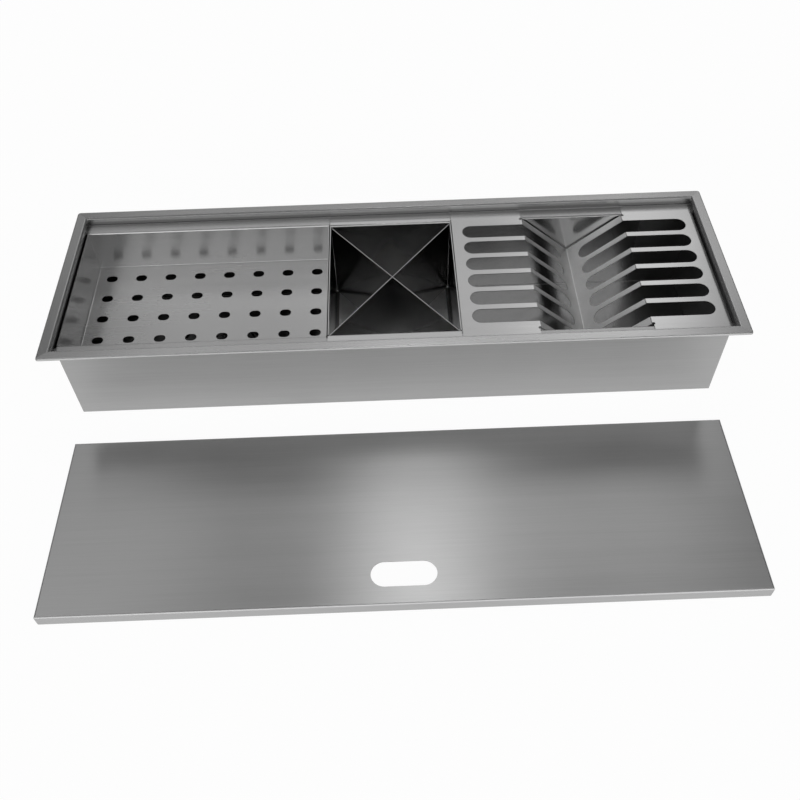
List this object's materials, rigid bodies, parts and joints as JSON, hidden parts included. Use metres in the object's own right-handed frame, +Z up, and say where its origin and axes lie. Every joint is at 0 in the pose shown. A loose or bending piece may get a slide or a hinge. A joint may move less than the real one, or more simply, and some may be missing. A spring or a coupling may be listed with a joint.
{
  "type": "recessed kitchen trough",
  "caption": "Long steel trough let into a worktop, with a hanging perforated tray, a cutlery box, a V-shaped plate rack and a lift-off cover.",
  "frame": {"origin": "middle of the plane that the trough's pads stand on, under the middle of the trough", "axes": "+X along the trough to the right, +Y from its front to its back, +Z up"},
  "size_m": [0.9, 0.568, 0.151],
  "materials": {
    "trough_steel": "brushed",
    "tray_steel": "brushed",
    "cutlery_steel": "brushed",
    "rack_steel": "brushed",
    "cover_steel": "brushed",
    "strainer_steel": "brushed",
    "foam_seal": "matt closed-cell foam",
    "sound_pad": "matt"
  },
  "bodies": {
    "trough": {"trough_channel": "trough_steel", "left_end_plate": "trough_steel", "right_end_plate": "trough_steel", "rim_seal": "foam_seal", "sound_pads": "sound_pad"},
    "strainer": {"drain_strainer": "strainer_steel", "drain_strainer_knob": "strainer_steel"},
    "tray": {"perforated_tray": "tray_steel"},
    "cutlery": {"cutlery_box": "cutlery_steel", "cutlery_divider_long": "cutlery_steel", "cutlery_divider_cross": "cutlery_steel"},
    "rack": {"plate_rack": "rack_steel"},
    "cover": {"cover_panel": "cover_steel"}
  },
  "joints": [
    {"name": "strainer_lift", "type": "slide", "parent": "trough", "child": "strainer", "axis": [0, 0, 1], "range_m": [0, 0.045]},
    {"name": "tray_lift", "type": "slide", "parent": "trough", "child": "tray", "axis": [0, 0, 1], "range_m": [0, 0.12]},
    {"name": "cutlery_lift", "type": "slide", "parent": "trough", "child": "cutlery", "axis": [0, 0, 1], "range_m": [0, 0.18]},
    {"name": "rack_lift", "type": "slide", "parent": "trough", "child": "rack", "axis": [0, 0, 1], "range_m": [0, 0.12]},
    {"name": "cover_lift", "type": "slide", "parent": "trough", "child": "cover", "axis": [0, 0, 1], "range_m": [0, 0.2]}
  ]
}
